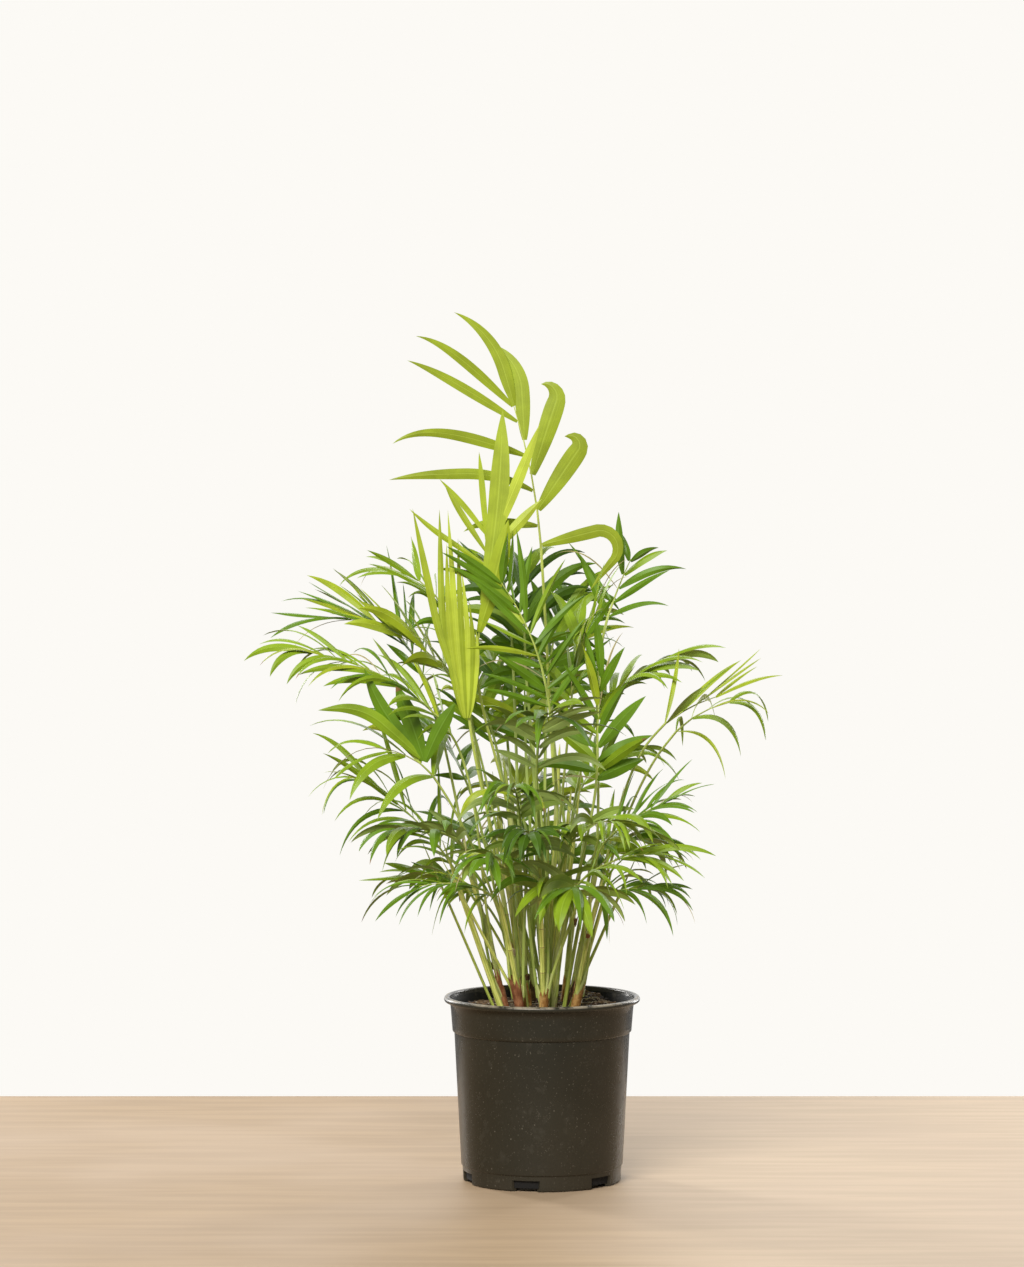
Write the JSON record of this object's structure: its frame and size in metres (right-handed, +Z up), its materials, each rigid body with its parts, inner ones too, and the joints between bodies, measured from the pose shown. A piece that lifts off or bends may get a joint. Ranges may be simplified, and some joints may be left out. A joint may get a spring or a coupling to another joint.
{
  "type": "parlour palm in a nursery pot",
  "caption": "Parlour palm: a clump of slender green cane stems with arching feather-shaped fronds, in potting mix in a round tapered black nursery pot.",
  "frame": {"origin": "middle of the pot's flat underside, where the plant stands on the floor", "axes": "+Z up along the stems, -Y towards the side that the picture shows, +X to its right"},
  "size_m": [0.4491, 0.3336, 0.7469],
  "materials": {
    "pot_plastic": "black moulded plastic, half gloss, dusty, with a paler worn rim",
    "potting_mix": "dark brown crumbly mix of bark and fibres",
    "cane": "smooth green cane with rings and dry brown sheaths at its foot",
    "frond_new": "young yellow-green leaf, satin",
    "frond_grown": "green leaf, satin",
    "frond_old": "dark green leaf, satin"
  },
  "bodies": {
    "root": {"pot": "pot_plastic", "soil": "potting_mix", "stem_01": "cane", "stem_02": "cane", "stem_03": "cane", "stem_04": "cane", "stem_05": "cane", "stem_06": "cane", "stem_07": "cane", "stem_08": "cane", "stem_09": "cane", "stem_10": "cane", "stem_11": "cane", "stem_12": "cane", "stem_13": "cane", "frond_top": "frond_new", "frond_spear_left": "frond_new", "frond_spear_right": "frond_new", "frond_comb": "frond_grown", "frond_left_high": "frond_grown", "frond_left_back": "frond_grown", "frond_left_arch": "frond_grown", "frond_left_broad": "frond_grown", "frond_left_low": "frond_grown", "frond_left_lowest": "frond_grown", "frond_right_high": "frond_grown", "frond_right_inner": "frond_grown", "frond_right_middle": "frond_grown", "frond_right_reach": "frond_grown", "frond_right_hanging": "frond_grown", "frond_right_mid": "frond_grown", "frond_right_low": "frond_grown", "frond_right_lowest": "frond_grown", "frond_front_low": "frond_grown", "frond_fill_01": "frond_old", "frond_fill_02": "frond_old", "frond_fill_03": "frond_old", "frond_fill_04": "frond_old", "frond_fill_05": "frond_old", "frond_fill_06": "frond_old", "frond_fill_07": "frond_old", "frond_fill_08": "frond_old", "frond_fill_09": "frond_old", "frond_fill_10": "frond_old", "frond_fill_11": "frond_old", "frond_fill_12": "frond_old", "frond_fill_13": "frond_old", "frond_fill_14": "frond_old", "frond_fill_15": "frond_old", "frond_fill_16": "frond_old", "frond_fill_17": "frond_old", "frond_fill_18": "frond_old", "frond_fill_19": "frond_old", "frond_fill_20": "frond_old", "frond_fill_21": "frond_old", "frond_fill_22": "frond_old", "frond_fill_23": "frond_old", "frond_fill_24": "frond_old", "frond_fill_25": "frond_old", "frond_fill_26": "frond_old"}
  },
  "joints": []
}
